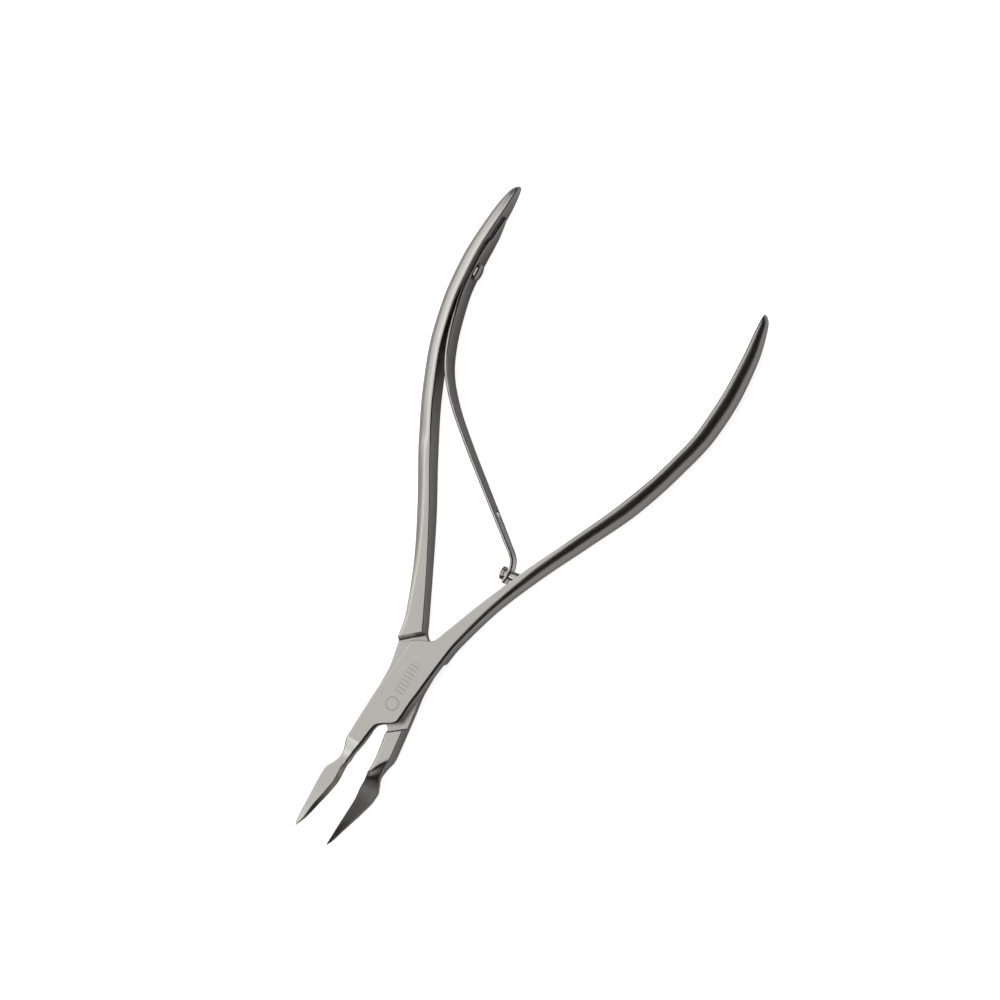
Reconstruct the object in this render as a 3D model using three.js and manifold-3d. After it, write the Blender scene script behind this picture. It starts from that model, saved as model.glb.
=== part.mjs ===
// Lap-joint nail splitting pliers: two stainless forgings on one pivot screw, opened by a single leaf spring.
// Millimetres. The pivot axis is Z, +Y runs to the jaw tips, and the joint lies flat with its mid-plane level.
// The part stands in the open position in which the spring holds it.
import * as THREE from 'three';
import { mergeVertices } from 'three/addons/utils/BufferGeometryUtils.js';
import Module from 'manifold-3d';

const wasm = await Module();
wasm.setup();

// ---- driving dimensions ----
const jointHalf = 2.3;          // half the thickness of the closed lap joint
const lapGap = 0.05;            // clearance between the two lap faces
const shankRadius = 1.5;        // pivot screw
const shankClearance = 0.05;
const headRadius = 2.4;
const headDepth = 1.1;
const screwInset = 0.15;        // the screw head sits this far below the arm's back face
const springThick = 0.65;
const slotHalf = 1.05;          // half the width of the fork's slot
const slotRoot = -36;           // y of the closed end of the slot
const springScrewY = -73.8;
const springScrewRadius = 0.9;
const springScrewHead = 1.8;
const studY = -27.9;            // where the stud leaves the handle
const studTilt = 0.17;          // how far the stud leans towards the joint, per mm of its length
const studNeckRadius = 0.95;
const studHeadRadius = 1.32;
const studGrip = 2.9;           // length of the stud's neck
const bladeTip = 33.9;

// Each outline is a list of [y, value] points joined by a smooth curve that never overshoots them.
// "left" is the jaw's outer side and the handle's inner side; "right" is the jaw's cutting side and the
// handle's outer side. The front arm is drawn in the same way and then turned half a turn about Y.
const backArm = {
  tipY: -92.1,
  left: [[bladeTip, -3.45], [33, -3.9], [30, -4.75], [25, -6.15], [22.5, -6.7], [20.8, -6.8], [19.6, -6.35],
    [17.6, -5.65], [16, -5.68], [14, -5.95], [10, -5.5], [4, -4.65], [0, -4.05], [-6.2, -3.9], [-7.2, -2.65],
    [-9.7, 1.3], [-12, 2.56], [-20, 6.85], [-30, 12.45], [-40, 18.5], [-50, 24.0], [-60, 28.15], [-70, 30.4],
    [-80, 31.1], [-87, 30.95], [-92.1, 31.2]],
  right: [[bladeTip, -3.3], [30, -3.3], [24, -3.45], [21, -3.15], [18, -3.1], [15, -2.9], [10, -2.0],
    [9.3, -1.9], [6.2, 3.9], [0, 4.1], [-6, 5.25], [-10, 6.15], [-14, 7.75], [-20, 10.45], [-30, 15.95],
    [-40, 22.05], [-50, 27.35], [-60, 31.35], [-70, 33.5], [-77, 34.05], [-85, 33.7], [-90, 32.95],
    [-91.4, 32.4], [-92.1, 31.7]],
  bevel: [[-100, 0], [18.5, 0], [20.5, 0.3], [28, 0.3], [bladeTip, 0.1]],
};
const frontArm = {
  tipY: -94.3,
  left: [[bladeTip, -3.85], [33, -4.15], [28, -4.35], [23, -4.55], [21.6, -4.5], [20, -3.7], [18.5, -3.15],
    [17, -3.1], [15.2, -3.55], [14, -3.65], [10, -3.6], [3, -3.4], [0, -3.0], [-5, -2.65], [-7.2, -2.6],
    [-9.7, 1.35], [-12, 2.25], [-20, 5.25], [-30, 9.6], [-40, 14.4], [-50, 18.85], [-60, 22.3], [-70, 24.35],
    [-77, 24.6], [-85, 24.1], [-91.7, 23.25], [-94.3, 22.95]],
  right: [[bladeTip, -3.7], [32, -2.9], [28, -1.95], [25, -1.3], [22.5, -0.98], [20, -1.12], [18, -1.2],
    [14, -0.6], [9.9, -0.05], [9.3, 0.4], [7.2, 3.45], [6.7, 3.72], [3, 3.95], [0, 4.25], [-5, 4.7], [-9, 5.2],
    [-14, 6.45], [-20, 8.25], [-30, 12.35], [-40, 17.15], [-50, 21.8], [-60, 25.0], [-70, 27.15], [-76, 27.45],
    [-85, 26.7], [-91.5, 25.1], [-93.6, 24.2], [-94.3, 23.4]],
  bevel: [[-100, 0], [18.5, 0], [20.5, 0.6], [28, 0.6], [bladeTip, 0.12]],
};

// The arm's height and the shape of its edges.
const noLimit = 10;
const fullRound = 9;
// Half-height, by distance from the end of the handle.
const handleHeight = [[0, 0.5], [1, 1.4], [3, 1.95], [8, 2.6], [15, 3.05], [25, 3.3], [45, 3.3], [60, 3.0],
  [75, 2.35], [85, jointHalf], [130, jointHalf]];
// The rest go by y. The outside is ground down to the blade; the lap side falls into it by a slanting scoop.
const outsideHeight = [[-100, noLimit], [14, 2.35], [15.4, 1.9], [17.2, 1.3], [18.2, 1.16], [24, 1.1],
  [30, 0.75], [bladeTip, 0.25]];
const scoopInnerY = 17.3;
const scoopOuterY = 13.3;
const scoopEndY = 19.3;
const bladeInnerHeight = [[15, 1.05], [20, 1.0], [22.5, 0.98], [25, 0.83], [28, 0.61], [30, 0.5], [33, 0.27],
  [bladeTip, 0.15]];
const bladeOuterHeight = [[15, 0.2], [17.5, 0.15], [20, 0], [25, 0.05], [28, 0.05], [30, 0.08], [bladeTip, 0.1]];
const bulge = [[-50, fullRound], [-40, 2.7], [-30, 2.1], [-20, 1.2], [-12, 0.6], [-7, 0.25], [bladeTip, 0.25]];
const jawLean = [[-100, 0], [6, 0], [10, 0.4], [16, 0.35], [20, 0], [bladeTip, 0]];
const edgeRound = 0.22;

// Spring centre line, from the fork to the fixed end, and its width at the same places.
const springPath = [[-6.6, -25.7], [-6.6, -27.5], [-6.45, -29.0], [-5.95, -30.2], [-4.95, -31.3], [-3.4, -32.4],
  [-0.4, -34.6], [7.0, -39.95], [13.85, -45], [20.1, -50.1], [24.4, -54.9], [27.0, -60], [28.75, -65.2],
  [29.95, -70]];
const springWidths = [3.3, 3.3, 3.3, 3.5, 4.3, 4.9, 5.3, 5.8, 6.0, 6.2, 6.3, 6.4, 6.5, 6.4];
const springEndY = -85.6;
const springFixedWidth = 6.4;
// The fixed end is a tongue with a slanting upper edge; these are its edges by y.
const springUpper = [[springEndY, 0.6], [-85, 0.9], [-83, 1.0], [-81, 1.1], [-79, 2.1], [-77, 2.5], [-74, 2.6],
  [-70, 2.8]];
const springLower = [[springEndY, -0.1], [-85, -0.6], [-83, -1.9], [-81, -2.9], [-79, -3.25], [-77, -3.3],
  [-70, -3.2]];
const springEdgeSlant = 0.8;

// ---- general helpers ----
function curve(points) {
  // Monotone cubic (Fritsch-Carlson) through points given in either order of their first number.
  const p = [...points].sort((a, b) => a[0] - b[0]);
  const n = p.length;
  const step = p.slice(1).map((q, i) => q[0] - p[i][0]);
  const slope = step.map((h, i) => (p[i + 1][1] - p[i][1]) / h);
  const tangent = p.map((_, i) => {
    if (i === 0) return slope[0];
    if (i === n - 1) return slope[n - 2];
    if (slope[i - 1] * slope[i] <= 0) return 0;
    const w1 = 2 * step[i] + step[i - 1];
    const w2 = step[i] + 2 * step[i - 1];
    return (w1 + w2) / (w1 / slope[i - 1] + w2 / slope[i]);
  });
  return (x) => {
    if (x <= p[0][0]) return p[0][1];
    if (x >= p[n - 1][0]) return p[n - 1][1];
    let i = 0;
    while (x > p[i + 1][0]) i += 1;
    const h = step[i];
    const t = (x - p[i][0]) / h;
    const a = (1 + 2 * t) * (1 - t) ** 2 * p[i][1] + t * t * (3 - 2 * t) * p[i + 1][1];
    const b = t * (1 - t) ** 2 * h * tangent[i] + t * t * (t - 1) * h * tangent[i + 1];
    return a + b;
  };
}

function smoothStep(x, low, high) {
  // 0 at low and 1 at high, whichever of the two is greater.
  const t = Math.min(1, Math.max(0, (x - low) / (high - low)));
  return t * t * (3 - 2 * t);
}

function stackRings(rings) {
  // A closed solid from rings of equal length, capped at both ends.
  const count = rings[0].length;
  const positions = rings.flat(2);
  const faces = [];
  for (let r = 0; r + 1 < rings.length; r += 1) {
    for (let k = 0; k < count; k += 1) {
      const a = r * count + k;
      const b = r * count + (k + 1) % count;
      faces.push(a, b, b + count, a, b + count, a + count);
    }
  }
  const middle = (ring) => [0, 1, 2].map((axis) => ring.reduce((sum, q) => sum + q[axis], 0) / count);
  const first = positions.length / 3;
  positions.push(...middle(rings[0]), ...middle(rings[rings.length - 1]));
  const last = (rings.length - 1) * count;
  for (let k = 0; k < count; k += 1) {
    const next = (k + 1) % count;
    faces.push(first, next, k);
    faces.push(first + 1, last + k, last + next);
  }
  const geometry = new THREE.BufferGeometry();
  geometry.setAttribute('position', new THREE.Float32BufferAttribute(positions, 3));
  geometry.setIndex(faces);
  return signedVolume(geometry) < 0 ? turnedInsideOut(geometry) : geometry;
}

function signedVolume(geometry) {
  const p = geometry.getAttribute('position');
  const index = geometry.getIndex();
  const corner = (i) => new THREE.Vector3().fromBufferAttribute(p, index.getX(i));
  let volume = 0;
  for (let i = 0; i < index.count; i += 3) {
    volume += corner(i).dot(corner(i + 1).cross(corner(i + 2))) / 6;
  }
  return volume;
}

function turnedInsideOut(geometry) {
  geometry.setIndex([...geometry.getIndex().array].reverse());
  return geometry;
}

function prism(bottom, top, z0, z1) {
  // A drafted block between two outlines with the same number of corners.
  return stackRings([bottom.map(([x, y]) => [x, y, z0]), top.map(([x, y]) => [x, y, z1])]);
}

function turned(profile, segments) {
  return new THREE.LatheGeometry(profile.map(([r, z]) => new THREE.Vector2(r, z)), segments)
    .rotateX(Math.PI / 2);
}

function cylinder(radius, z0, z1, segments) {
  return turned([[0, z0], [radius, z0], [radius, z1], [0, z1]], segments);
}

function solid(geometry) {
  const bare = geometry.clone();
  bare.deleteAttribute('normal');
  bare.deleteAttribute('uv');
  const merged = mergeVertices(bare, 1e-4);
  const vertProperties = new Float32Array(merged.getAttribute('position').array);
  const triVerts = new Uint32Array(merged.getIndex().array);
  return new wasm.Manifold(new wasm.Mesh({ numProp: 3, vertProperties, triVerts }));
}

function geometryOf(body) {
  const mesh = body.getMesh();
  const geometry = new THREE.BufferGeometry();
  geometry.setAttribute('position', new THREE.Float32BufferAttribute(mesh.vertProperties, 3));
  geometry.setIndex([...mesh.triVerts]);
  return geometry;
}

function halfTurn(geometry) {
  return geometry.rotateY(Math.PI);
}

function steel(name, color, roughness) {
  return new THREE.MeshStandardMaterial({ name, color, roughness, metalness: 1 });
}

function named(name, geometry, material) {
  const mesh = new THREE.Mesh(geometry, material);
  mesh.name = name;
  return mesh;
}

// ---- the two arms ----
const at = {
  handle: curve(handleHeight),
  outside: curve(outsideHeight),
  bladeInner: curve(bladeInnerHeight),
  bladeOuter: curve(bladeOuterHeight),
  bulge: curve(bulge),
  lean: curve(jawLean),
};

function lapTop(half, y, share) {
  // Height of the lap side, share of the way from its inner to its outer edge.
  const front = scoopInnerY + (scoopOuterY - scoopInnerY) * share;
  const blade = at.bladeInner(y) * (1 - share) + at.bladeOuter(y) * share;
  return half + (Math.min(half, blade) - half) * smoothStep(y, front, scoopEndY);
}

function flank(right, height, middle, round, bevel, lean) {
  // Points from just off the side's middle to its top or bottom: a round flank, or a flat bevel on the blade.
  if (bevel > 0.05) {
    return [0.4, 0.8, 1].map((share) => [right - bevel * share, middle + share * (height - middle)]);
  }
  const shift = lean * height / jointHalf;
  return [30, 60, 90].map((turn) => {
    const a = turn * Math.PI / 180;
    return [right - round * (1 - Math.cos(a)) - shift * Math.sin(a), height * Math.sin(a)];
  });
}

function armSection(arm, y) {
  // One cross-section, drawn as a ring in the plane y = constant, in the arm's own position.
  const left = arm.leftAt(y);
  const right = Math.max(arm.rightAt(y), left + 0.25);
  const half = at.handle(y - arm.tipY);
  const low = -Math.min(half, at.outside(y));
  const innerTop = lapTop(half, y, 0);
  const outerTop = lapTop(half, y, 1);
  const bevel = arm.bevelAt(y);
  const round = Math.min(at.bulge(y), 0.9 * (right - left));
  const edge = Math.min(edgeRound, 0.2 * (right - left));
  const middle = bevel > 0.05 ? (innerTop + low) / 2 : 0;
  const top = flank(right, innerTop, middle, round, bevel, at.lean(y));
  const bottom = flank(right, low, middle, round, bevel, -at.lean(y));
  const topEnd = top[top.length - 1][0];
  const across = (share) => [topEnd + (left + edge - topEnd) * share, lapTop(half, y, share)];
  const ring = [[right, middle], ...top, across(1 / 3), across(2 / 3), [left + edge, outerTop],
    [left, outerTop - edge], [left, low + edge], [left + edge, low], ...bottom.reverse()];
  return ring.map(([x, z]) => [x, y, z]);
}

function armStations(arm) {
  const marks = new Set();
  for (const [y] of [...arm.left, ...arm.right]) marks.add(y);
  for (let y = 14; y < bladeTip; y += 1) marks.add(y);
  for (let y = arm.tipY + 5; y < -14; y += 5) marks.add(y);
  for (const d of [1, 3]) marks.add(arm.tipY + d);
  const sorted = [...marks].sort((a, b) => a - b);
  return sorted.filter((y, i) => i === 0 || y - sorted[i - 1] > 0.3);
}

function armBlank(arm) {
  arm.leftAt = curve(arm.left);
  arm.rightAt = curve(arm.right);
  arm.bevelAt = curve(arm.bevel);
  return stackRings(armStations(arm).map((y) => armSection(arm, y)));
}

function lapPocket() {
  // What is cut from the arm above the lap plane, between its jaw shoulder and its handle shoulder.
  const shoulder = [[-12, 1.57], [-5.4, 6.9], [-2.2, 9.5], [1.5, 12.5], [12, 12.5], [12, 0.25], [4.6, -6.3],
    [1.0, -9.5], [-2.4, -12.5], [-12, -12.5]];
  const draft = 0.9;
  const opened = shoulder.map(([x, y]) => (y < -1 && x > -5 ? [x + draft * 0.6, y - draft * 0.8] : [x, y]));
  return prism(shoulder, opened, -lapGap / 2, 6);
}

function makeArm(arm, cuts) {
  let body = solid(armBlank(arm)).subtract(solid(lapPocket()));
  for (const cut of cuts) body = body.subtract(solid(cut));
  return geometryOf(body);
}

// ---- pivot screw: countersunk slotted head at the back, threaded into the front arm ----
function pivotScrew(clearance) {
  const back = -jointHalf + screwInset;
  const end = jointHalf - 0.4;
  const r = shankRadius + clearance;
  const head = headRadius + clearance;
  const bottom = clearance > 0 ? -jointHalf - 1 : back;
  return turned([[0, bottom], [head, bottom], [head, back], [r, back + headDepth + clearance],
    [r, end + clearance], [0, end + clearance]], 32);
}

function slottedPivotScrew() {
  const slot = new THREE.BoxGeometry(2 * headRadius + 1, 0.7, 1.2).translate(0, 0, -jointHalf + screwInset);
  return geometryOf(solid(pivotScrew(0)).subtract(solid(slot.rotateZ(0.6))));
}

// ---- leaf spring, its screw and the stud that its fork rides on ----
const handleFace = curve(backArm.left);
const studFace = curve(frontArm.left);

const springUpperAt = curve(springUpper);
const springLowerAt = curve(springLower);

function springCentre() {
  // The free part follows its own line; the fixed part lies along the handle's inner face.
  const points = springPath.map(([x, y], i) => new THREE.Vector3(x, y, springWidths[i]));
  const steps = 4;
  for (let i = 0; i <= steps; i += 1) {
    const y = -74 + (springEndY + 74) * i / steps;
    points.push(new THREE.Vector3(handleFace(y) - springThick / 2 - 0.06, y, springFixedWidth));
  }
  return new THREE.CatmullRomCurve3(points, false, 'centripetal');
}

function springBlank(steps) {
  const line = springCentre();
  const rings = [];
  for (let i = 0; i <= steps; i += 1) {
    const p = line.getPoint(i / steps);
    const t = line.getTangent(i / steps);
    const run = Math.hypot(t.x, t.y);
    const nx = -t.y / run * springThick / 2;
    const ny = t.x / run * springThick / 2;
    const fixed = smoothStep(p.y, -58, -70);
    const lower = -p.z / 2 + (springLowerAt(p.y) + p.z / 2) * fixed;
    const upper = p.z / 2 + (springUpperAt(p.y) - p.z / 2) * fixed;
    const frontUpper = upper - springEdgeSlant * springThick * fixed;
    rings.push([[p.x + nx, p.y + ny, lower], [p.x + nx, p.y + ny, upper], [p.x - nx, p.y - ny, frontUpper],
      [p.x - nx, p.y - ny, lower]]);
  }
  return stackRings(rings);
}

function leafSpring() {
  const slotLength = -24 - slotRoot;
  const slot = new THREE.BoxGeometry(30, slotLength, 2 * slotHalf).translate(0, slotRoot + slotLength / 2, 0);
  const hole = cylinder(springScrewRadius + 0.06, -3, 3, 16);
  return geometryOf(solid(springBlank(64)).subtract(solid(slot)).subtract(solid(alongHandle(hole))));
}

function faceDirection(face, y) {
  // Unit vector that points out of a handle's inner face, in the backArm's own position.
  const slope = (face(y + 0.5) - face(y - 0.5));
  return new THREE.Vector3(-1, slope, 0).normalize();
}

function standOn(geometry, origin, axis) {
  const turn = new THREE.Quaternion().setFromUnitVectors(new THREE.Vector3(0, 0, 1), axis);
  return geometry.applyQuaternion(turn).translate(origin.x, origin.y, origin.z);
}

function alongHandle(geometry) {
  const origin = new THREE.Vector3(handleFace(springScrewY), springScrewY, 0);
  return standOn(geometry, origin, faceDirection(handleFace, springScrewY));
}

function springScrew() {
  const top = springThick + 0.12;
  const r = springScrewRadius;
  const head = springScrewHead;
  const screw = turned([[0, -1.6], [r, -1.6], [r, top], [head, top], [head, top + 0.4], [0.8 * head, top + 0.72],
    [0.35 * head, top + 0.91], [0, top + 0.93]], 24);
  const slot = new THREE.BoxGeometry(0.42, 4.4, 0.8).translate(0, 0, top + 0.93);
  return alongHandle(geometryOf(solid(screw).subtract(solid(slot))));
}

function springScrewHole() {
  return alongHandle(cylinder(springScrewRadius + 0.03, -1.75, 2, 24));
}

function onFrontHandle(geometry) {
  const origin = new THREE.Vector3(studFace(studY), studY, 0);
  return standOn(geometry, origin, new THREE.Vector3(-1, studTilt, 0).normalize());
}

function springStud() {
  const r = studNeckRadius;
  const head = studHeadRadius;
  const profile = [[0, -1.2], [r, -1.2], [r, studGrip], [head, studGrip], [head, studGrip + 0.6],
    [0.7 * head, studGrip + 0.8], [0, studGrip + 0.85]];
  return halfTurn(onFrontHandle(turned(profile, 24)));
}

function studHole() {
  return onFrontHandle(cylinder(studNeckRadius + 0.03, -1.35, 2, 24));
}

// ---- assembly ----
const forged = 0xb9b6b1;
const model = new THREE.Group();
model.name = 'nail_splitting_pliers';
const pivotCut = pivotScrew(shankClearance);
model.add(
  named('lower_arm', makeArm(backArm, [pivotCut, springScrewHole()]), steel('satin_steel', forged, 0.36)),
  named('upper_arm', halfTurn(makeArm(frontArm, [halfTurn(pivotScrew(0.03)), studHole()])),
    steel('satin_steel_front', forged, 0.36)),
  named('pivot_screw', slottedPivotScrew(), steel('screw_steel', 0xa9a7a3, 0.3)),
  named('leaf_spring', leafSpring(), steel('spring_steel', 0x8d8b88, 0.28)),
  named('spring_screw', springScrew(), steel('bright_steel', 0x9c9a97, 0.25)),
  named('spring_stud', springStud(), steel('stud_steel', 0x9c9a97, 0.3)),
);

// The origin goes to the middle of the footprint, on the surface that the part lies on.
const box = new THREE.Box3().setFromObject(model);
const centre = box.getCenter(new THREE.Vector3());
for (const mesh of model.children) mesh.position.set(-centre.x, -centre.y, -box.min.z);

export default model;
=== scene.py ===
import math

import bmesh
import bpy
import numpy as np
from mathutils import Matrix, Vector


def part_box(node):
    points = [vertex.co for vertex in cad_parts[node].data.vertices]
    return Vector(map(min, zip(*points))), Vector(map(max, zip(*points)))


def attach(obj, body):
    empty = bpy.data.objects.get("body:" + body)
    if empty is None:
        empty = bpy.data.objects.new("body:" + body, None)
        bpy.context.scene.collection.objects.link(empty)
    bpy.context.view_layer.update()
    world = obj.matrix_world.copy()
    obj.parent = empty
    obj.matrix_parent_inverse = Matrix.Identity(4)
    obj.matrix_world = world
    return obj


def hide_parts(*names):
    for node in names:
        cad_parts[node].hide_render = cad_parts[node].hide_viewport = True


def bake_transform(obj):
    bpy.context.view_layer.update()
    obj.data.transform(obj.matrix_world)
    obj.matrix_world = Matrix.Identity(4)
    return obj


# Nail splitting pliers of satin stainless steel: two lap-jointed arms, their pivot screw, and a leaf spring
# with its screw and its stud.
# The meshes are worked out in millimetres about the pivot and placed in the row frame, in metres.

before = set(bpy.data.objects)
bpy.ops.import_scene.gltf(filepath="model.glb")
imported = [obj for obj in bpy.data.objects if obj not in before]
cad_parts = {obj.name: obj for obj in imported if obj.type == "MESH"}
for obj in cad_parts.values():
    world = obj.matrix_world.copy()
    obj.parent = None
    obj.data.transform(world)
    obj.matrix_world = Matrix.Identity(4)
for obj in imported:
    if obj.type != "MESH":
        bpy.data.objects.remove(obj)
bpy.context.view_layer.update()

MM = 0.001
pivot_low, pivot_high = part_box("pivot_screw")
arm_low, arm_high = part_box("lower_arm")
PIVOT = Vector(((pivot_low.x + pivot_high.x) / 2, (pivot_low.y + pivot_high.y) / 2,
                (arm_low.z + arm_high.z) / 2))

# ---- driving dimensions, in millimetres ----
# The lap joint. LAP_CUT is the plan of what the lap takes off one arm. Its slanting sides are the shoulders.
JOINT_HALF = 2.3
LAP_GAP = 0.05
SHOULDER_FILLET = 0.45
JAW_SHOULDER_FILLET = 0.3
FILLET_STEPS = 6
SHOULDER_DRAFT = 0.9
LAP_CUT_HEIGHT = 6.0
LAP_CUT_MIDDLE_Y = 0.5
LAP_CUT = [(-12, 1.57), (-5.4, 6.9), (-2.2, 9.5), (1.5, 12.5), (12, 12.5), (12, 0.25), (4.6, -6.3),
           (1.0, -9.5), (-2.4, -12.5), (-12, -12.5)]

# The arms' sections.
BLADE_TIP = 33.9
BLADE_START_Y = 17.8
BLADE_FULL_Y = 19.8
LEAST_WIDTH = 0.15
EDGE_ROUND = 0.24
EDGE_LIMIT = 0.2
BULGE_LIMIT = 0.94
EDGE_BREAK_FROM = 0.7

# The pivot screw and its hole.
SHANK_RADIUS = 1.5
SHANK_ROOM = 0.05
SHANK_END_GAP = 0.4
HOLE_THROUGH = 4
HOLE_END_GAP = 0.35
HEAD_RADIUS = 2.4
HEAD_DEPTH = 1.1
HEAD_ROOM = 0.1
HEAD_EDGE = (0.08, 0.06)
SCREW_INSET = 0.15
PIVOT_SLOT_WIDTH = 0.7
PIVOT_SLOT_HEIGHT = 1.2
PIVOT_SLOT_TURN = 0.6

# The spring.
SPRING_THICK = 0.65
SPRING_EDGE_SLANT = 0.8
SPRING_EDGE_ROUND = 0.3
SPRING_FIXED_WIDTH = 6.4
SPRING_FREE_Y = -58.0
SPRING_FIXED_Y = -70.0
SPRING_LAID_Y = -74
SPRING_SCREW_Y = -73.8
SPRING_END_Y = -85.6
SPRING_LIFT = 0.06
SPRING_HOLE_RADIUS = 0.96
SPRING_HOLE_REACH = 3
SLOT_HALF = 1.05
SLOT_ROOT = -36.0
SLOT_MOUTH = 14
SLOT_REACH = 20

# The spring's screw and the stud, with their heads as (radius, height) points from under the head.
SPRING_SCREW_RADIUS = 0.9
SPRING_SCREW_ROOT = -1.6
SPRING_SCREW_GAP = 0.12
SPRING_SCREW_SLOT = (0.42, 4.4, 0.8)
SPRING_SCREW_HEAD = [(1.75, 0), (1.8, 0.06), (1.78, 0.4), (1.68, 0.56), (1.45, 0.72), (1.1, 0.84),
                     (0.6, 0.91), (0, 0.93)]
STUD_Y = -27.9
STUD_TILT = 0.17
STUD_RADIUS = 0.95
STUD_ROOT = -1.2
STUD_GRIP = 2.9
STUD_HEAD = [(1.24, 0), (1.32, 0.08), (1.32, 0.22), (1.22, 0.27), (1.22, 0.35), (1.32, 0.4), (1.32, 0.54),
             (1.22, 0.66), (0.95, 0.78), (0.5, 0.84), (0, 0.85)]

# Each list holds (place, value) points on a smooth curve that never overshoots them. The place is y, but in
# HANDLE_HEIGHT it is the distance from the arm's end.
BACK_ARM = {
    "tip": -92.1,
    "left": [
        (33.9, -3.45), (33, -3.9), (30, -4.75), (25, -6.15), (22.5, -6.7), (20.8, -6.8),
        (19.6, -6.35), (17.6, -5.65), (16, -5.68), (14, -5.95), (10, -5.5), (4, -4.65), (0, -4.05),
        (-6.2, -3.9), (-7.2, -2.65), (-9.7, 1.3), (-12, 2.56), (-20, 6.85), (-30, 12.45),
        (-40, 18.5), (-50, 24.0), (-60, 28.15), (-70, 30.4), (-80, 31.1), (-87, 30.95),
        (-92.1, 31.2),
    ],
    "right": [
        (33.9, -3.3), (30, -3.3), (24, -3.45), (21, -3.15), (18, -3.1), (15, -2.9), (10, -2.0),
        (9.3, -1.9), (6.2, 3.9), (0, 4.1), (-6, 5.25), (-10, 6.15), (-14, 7.75), (-20, 10.45),
        (-30, 15.95), (-40, 22.05), (-50, 27.35), (-60, 31.35), (-70, 33.5), (-77, 34.05),
        (-85, 33.7), (-90, 32.95), (-91.4, 32.4), (-92.1, 31.7),
    ],
    "bevel": [(-100, 0), (17.5, 0), (20, 0.3), (28, 0.3), (33.9, 0.1)],
    "edge_break": [(-50, 0), (-40, 0.2), (-28, 0.4), (-8, 0.45), (0, 0.4), (8, 0.3), (33.9, 0.3)],
}
FRONT_ARM = {
    "tip": -94.3,
    "left": [
        (33.9, -3.85), (33, -4.15), (28, -4.35), (23, -4.55), (21.6, -4.5), (20, -3.7),
        (18.5, -3.15), (17, -3.1), (15.2, -3.55), (14, -3.65), (10, -3.6), (3, -3.4), (0, -3.0),
        (-5, -2.65), (-7.2, -2.6), (-9.7, 1.35), (-12, 2.25), (-20, 5.25), (-30, 9.6), (-40, 14.4),
        (-50, 18.85), (-60, 22.3), (-70, 24.35), (-77, 24.6), (-85, 24.1), (-91.7, 23.25),
        (-94.3, 22.95),
    ],
    "right": [
        (33.9, -3.7), (32, -2.9), (28, -1.95), (25, -1.3), (22.5, -0.98), (20, -1.12), (18, -1.2),
        (14, -0.6), (9.9, -0.05), (9.3, 0.4), (7.2, 3.45), (6.7, 3.72), (3, 3.95), (0, 4.25),
        (-5, 4.7), (-9, 5.2), (-14, 6.45), (-20, 8.25), (-30, 12.35), (-40, 17.15), (-50, 21.8),
        (-60, 25.0), (-70, 27.15), (-76, 27.45), (-85, 26.7), (-91.5, 25.1), (-93.6, 24.2),
        (-94.3, 23.4),
    ],
    "bevel": [(-100, 0), (17.5, 0), (20, 0.75), (28, 0.7), (33.9, 0.12)],
    "edge_break": [(-26, 0), (-14, 0.36), (33.9, 0.36)],
}
HANDLE_HEIGHT = [
    (0, 0.45), (0.35, 0.95), (1, 1.4), (3, 1.95), (8, 2.6), (15, 3.05), (25, 3.3), (45, 3.3),
    (60, 3.0), (75, 2.35), (85, JOINT_HALF), (130, JOINT_HALF),
]
NO_LIMIT = 10
OUTSIDE_HEIGHT = [
    (-100, NO_LIMIT), (14.0, 2.35), (14.4, 2.25), (15.4, 1.9), (17.2, 1.3), (18.2, 1.16), (24, 1.1),
    (30, 0.75), (33.9, 0.25),
]
SCOOP_INNER_Y = 17.3
SCOOP_OUTER_Y = 13.3
SCOOP_END_Y = 19.3
BLADE_INNER_HEIGHT = [
    (15, 1.05), (20, 1.0), (22.5, 0.98), (25, 0.83), (28, 0.61), (30, 0.5), (33, 0.27),
    (33.9, 0.15),
]
BLADE_OUTER_HEIGHT = [
    (15, 0.2), (17.5, 0.15), (20, 0.0), (25, 0.05), (28, 0.05), (30, 0.08), (33.9, 0.1),
]
BULGE = [(-50, 9), (-40, 2.7), (-30, 2.1), (-20, 1.2), (-12, 0.6), (-7, 0.25), (33.9, 0.25)]
JAW_LEAN = [(-100, 0), (6, 0), (10, 0.4), (16, 0.35), (20, 0), (33.9, 0)]
# The free part of the spring, as (x, y, width) points.
SPRING_PATH = [
    (-6.6, -25.7, 3.3), (-6.6, -27.5, 3.3), (-6.45, -29.0, 3.3), (-5.95, -30.2, 3.5),
    (-4.95, -31.3, 4.3), (-3.4, -32.4, 4.9), (-0.4, -34.6, 5.3), (7.0, -39.95, 5.8),
    (13.85, -45, 6.0), (20.1, -50.1, 6.2), (24.4, -54.9, 6.3), (27.0, -60, 6.4),
    (28.75, -65.2, 6.5), (29.95, -70, 6.4),
]
# The fixed end's upper and lower edges, as (y, height) points.
SPRING_UPPER = [
    (-85.6, 0.6), (-85, 0.9), (-83, 1.0), (-81, 1.1), (-79, 2.1), (-77, 2.5), (-74, 2.6),
    (-70, 2.8),
]
SPRING_LOWER = [
    (-85.6, -0.1), (-85, -0.6), (-83, -1.9), (-81, -2.9), (-79, -3.25), (-77, -3.3), (-70, -3.2),
]


# ---- curves and meshes ----
SHARP_ANGLE = math.radians(30)
NORMAL_WEIGHT = 80


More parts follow.
